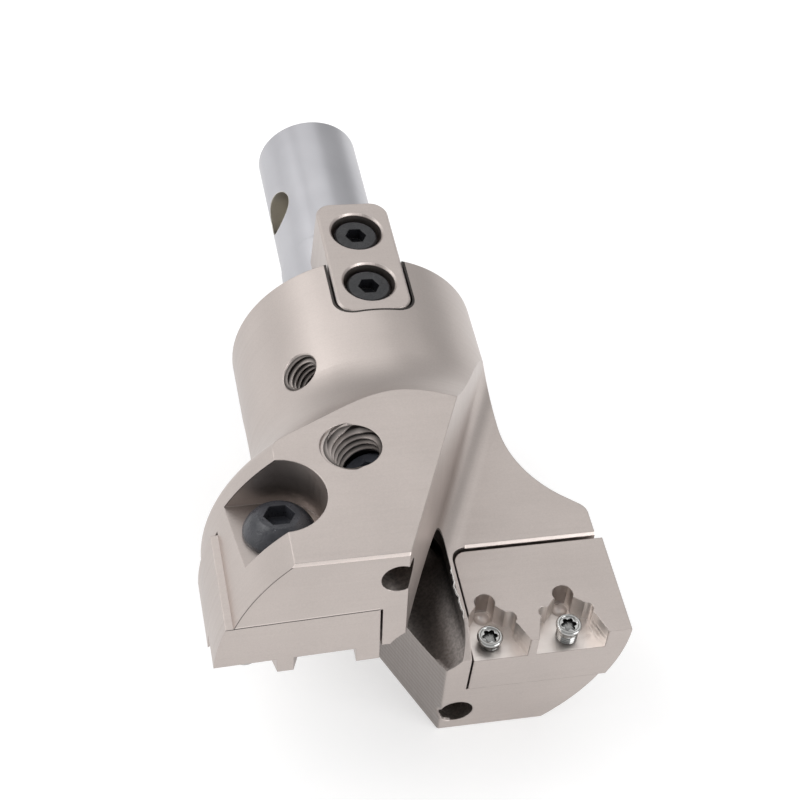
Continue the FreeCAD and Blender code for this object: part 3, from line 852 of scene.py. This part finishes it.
def hole_thread(hole, shape, skin_depth):
    """Ridge in a hole. skin_depth tells how deep a place of the scene, in millimetres, lies in the head."""
    mouth, outward = hole
    turn = hole_turn(outward)

    def below(point):
        return skin_depth(mouth / MM + turn @ point) - RIDGE_UNDER

    bm = thread_mesh(*shape, below)
    put_in_place(bm, mouth, outward)
    return bm


def side_threads(material):
    for name, side in (("left", 1), ("right", -1)):
        shape = (SIDE_HOLE_R, SIDE_PITCH, SIDE_RIDGE_START, SIDE_RIDGE_LEN, SIDE_FLARE)
        bm = hole_thread(side_hole(side), shape, lambda place: BODY_R - math.hypot(place.x, place.z))
        head_piece("side_thread_" + name, bm, material)


def plug_threads(material):
    flat = abs(PLUG_AT[1])
    for name, side in (("left", 1), ("right", -1)):
        shape = (PLUG_HOLE_R, PLUG_PITCH, PLUG_RIDGE_START, PLUG_RIDGE_LEN, PLUG_FLARE)
        bm = hole_thread(plug_hole(side), shape, lambda place: flat - abs(place.z))
        cut_level(bm, Vector((0, 0, side * (flat - LEVEL_UNDER) * MM)), Vector((0, 0, side)))
        head_piece("plug_thread_" + name, bm, material)


# Insert screws


def screw_place(x, y, z, leans):
    """Foot of the head, and the direction that the head looks in. A screw of the left cartridge leans."""
    if not leans:
        return drill_point(x, y, z), drill_dir(0, -1, 0)
    lean = math.radians(LEFT_LEAN)
    dx = x - LEFT_PIVOT[0]
    dy = y - LEFT_PIVOT[1]
    px = LEFT_PIVOT[0] + dx * math.cos(lean) + dy * math.sin(lean)
    py = LEFT_PIVOT[1] - dx * math.sin(lean) + dy * math.cos(lean)
    return drill_point(-px, -py, z), drill_dir(math.sin(lean), math.cos(lean), 0)


def socket_radius(angle, size):
    """Outline of the six-lobe socket."""
    return size * (0.86 + 0.14 * math.cos(6 * angle) - 0.02 * math.cos(12 * angle))


def rim_profile():
    """Rounded rim of the head, from the flat ring on top down to the cone, as radius and height."""
    points = []
    for degrees in range(90, -31, -15):
        a = math.radians(degrees)
        points.append((SCREW_HEAD_R - RIM_BEND + RIM_BEND * math.cos(a),
                       SCREW_TOP - RIM_BEND + RIM_BEND * math.sin(a)))
    return points


def screw_thread(angles, neck):
    """Rings down the neck and the thread to the tip."""
    rows = []
    steps = int(SCREW_LEN / (SCREW_PITCH / RINGS_PER_PITCH))
    for k in range(1, steps + 1):
        z = -SCREW_LEN * k / steps
        outer = SCREW_NECK_R if z > -neck else SCREW_THREAD_R
        fade = max(0.0, min(1.0, (SCREW_LEN + z) / SCREW_TIP))
        row = []
        for a in angles:
            turn = (z / SCREW_PITCH + a / (2 * math.pi)) % 1.0
            ridge = 1 - abs(2 * turn - 1)
            row.append((outer - SCREW_ROOT + SCREW_RIDGE * ridge * fade, z))
        rows.append(row)
    return rows


def screw_mesh(neck):
    """Closed surface from the bottom of the socket, over the head and down to the tip, in millimetres."""
    angles = [2 * math.pi * k / POINTS_PER_RING for k in range(POINTS_PER_RING)]
    rows = [[(socket_radius(a, size), SCREW_TOP - depth) for a in angles] for size, depth in SOCKET_RINGS]
    profile = [(r, SCREW_TOP - depth) for r, depth in STEP_RINGS] + rim_profile()
    profile.append((SCREW_NECK_R, SCREW_TOP - HEAD_FOOT))
    rows += [[point] * len(angles) for point in profile]
    rows += screw_thread(angles, neck)
    bm = bmesh.new()
    rings = []
    for row in rows:
        rings.append([bm.verts.new((r * math.cos(a), r * math.sin(a), z)) for a, (r, z) in zip(angles, row)])
    skin(bm, rings)
    return bm


def insert_screws(material):
    for name, (x, y, z, neck) in INSERT_SCREWS.items():
        foot, outward = screw_place(x, y, z, "_left_" in name)
        bm = screw_mesh(neck)
        put_in_place(bm, foot, outward)
        piece = head_piece(name + "_look", bm, material)
        smooth_faces(piece, angle=40)
        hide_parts(name)


# Worn edge of the thin wall


def wall_burr(material):
    """Fine wavy burr along the edge between the blind bore and the flute floor."""
    bm = bmesh.new()
    rings = []
    for k in range(BURR_STEPS + 1):
        t = k / BURR_STEPS
        wave = sum(height * math.sin(rate * t + phase) for height, rate, phase in BURR_WAVES)
        centre = Vector((BURR_X + wave, BURR_START - BURR_LEN * t, BURR_Z))
        size = BURR_R * min(1.0, t / BURR_TAPER, (1 - t) / BURR_TAPER) + BURR_TIP_R
        ring = []
        for j in range(BURR_SIDES):
            a = 2 * math.pi * j / BURR_SIDES
            offset = Vector((math.cos(a), 0, BURR_FLATNESS * math.sin(a))) * size
            ring.append(bm.verts.new((centre + offset) * MM))
        rings.append(ring)
    skin(bm, rings)
    piece = head_piece("wall_burr", bm, material)
    smooth_faces(piece, angle=60)


# Studio


def add_floor():
    bm = bmesh.new()
    z = cad_box[0][2]
    corners = ((-1, -1), (1, -1), (1, 1), (-1, 1))
    bm.faces.new([bm.verts.new((x * FLOOR_HALF, y * FLOOR_HALF, z)) for x, y in corners])
    floor = scene_object("studio_floor", bm, floor_material())


def add_world():
    world = bpy.data.worlds.new("studio")
    bpy.context.scene.world = world
    world.use_nodes = True
    tree = world.node_tree
    tree.nodes.clear()
    background = tree.nodes.new("ShaderNodeBackground")
    background.inputs["Color"].default_value = (1, 1, 1, 1)
    background.inputs["Strength"].default_value = WORLD_LEVEL
    out = tree.nodes.new("ShaderNodeOutputWorld")
    tree.links.new(background.outputs["Background"], out.inputs["Surface"])


def add_lamp(name, at, power):
    data = bpy.data.lights.new(name, "AREA")
    data.size = SOFTBOX_SIDE
    data.energy = power
    lamp = bpy.data.objects.new(name, data)
    lamp.location = at
    lamp.rotation_euler = (Vector(SOFTBOX_TARGET) - at).to_track_quat("-Z", "Y").to_euler()
    bpy.context.scene.collection.objects.link(lamp)


def add_lamps():
    """Softboxes one metre away. Azimuth 0 is behind the object (+Y), 90 is at its right (+X)."""
    for azimuth, height, power in SOFTBOXES:
        a = math.radians(azimuth)
        e = math.radians(height)
        at = Vector((math.cos(e) * math.sin(a), math.cos(e) * math.cos(a), math.sin(e)))
        add_lamp("softbox_%d_%d" % (azimuth, height), at, power)


def add_camera():
    data = bpy.data.cameras.new("camera")
    data.lens = CAMERA_LENS
    data.sensor_width = SENSOR_WIDTH
    data.clip_start = 0.01
    data.clip_end = 20.0
    camera = bpy.data.objects.new("camera", data)
    bpy.context.scene.collection.objects.link(camera)
    at = Vector(CAMERA_AT) * MM
    aim = (Vector(CAMERA_TARGET) * MM - at).to_track_quat("-Z", "Y").to_matrix().to_4x4()
    roll = Matrix.Rotation(math.radians(CAMERA_ROLL), 4, "Z")
    camera.matrix_world = Matrix.Translation(at) @ aim @ roll
    bpy.context.scene.camera = camera


materials = {
    "nickel_plate": nickel_material(),
    "ground_steel": ground_material(),
    "black_oxide": black_material(),
    "bright_screw": bright_material(),
}
dress_nodes(materials)
side_threads(materials["nickel_plate"])
plug_threads(materials["nickel_plate"])
insert_screws(materials["bright_screw"])
wall_burr(burr_highlight_material())
add_floor()
add_world()
add_lamps()
add_camera()
bpy.context.scene.view_settings.view_transform = "Standard"
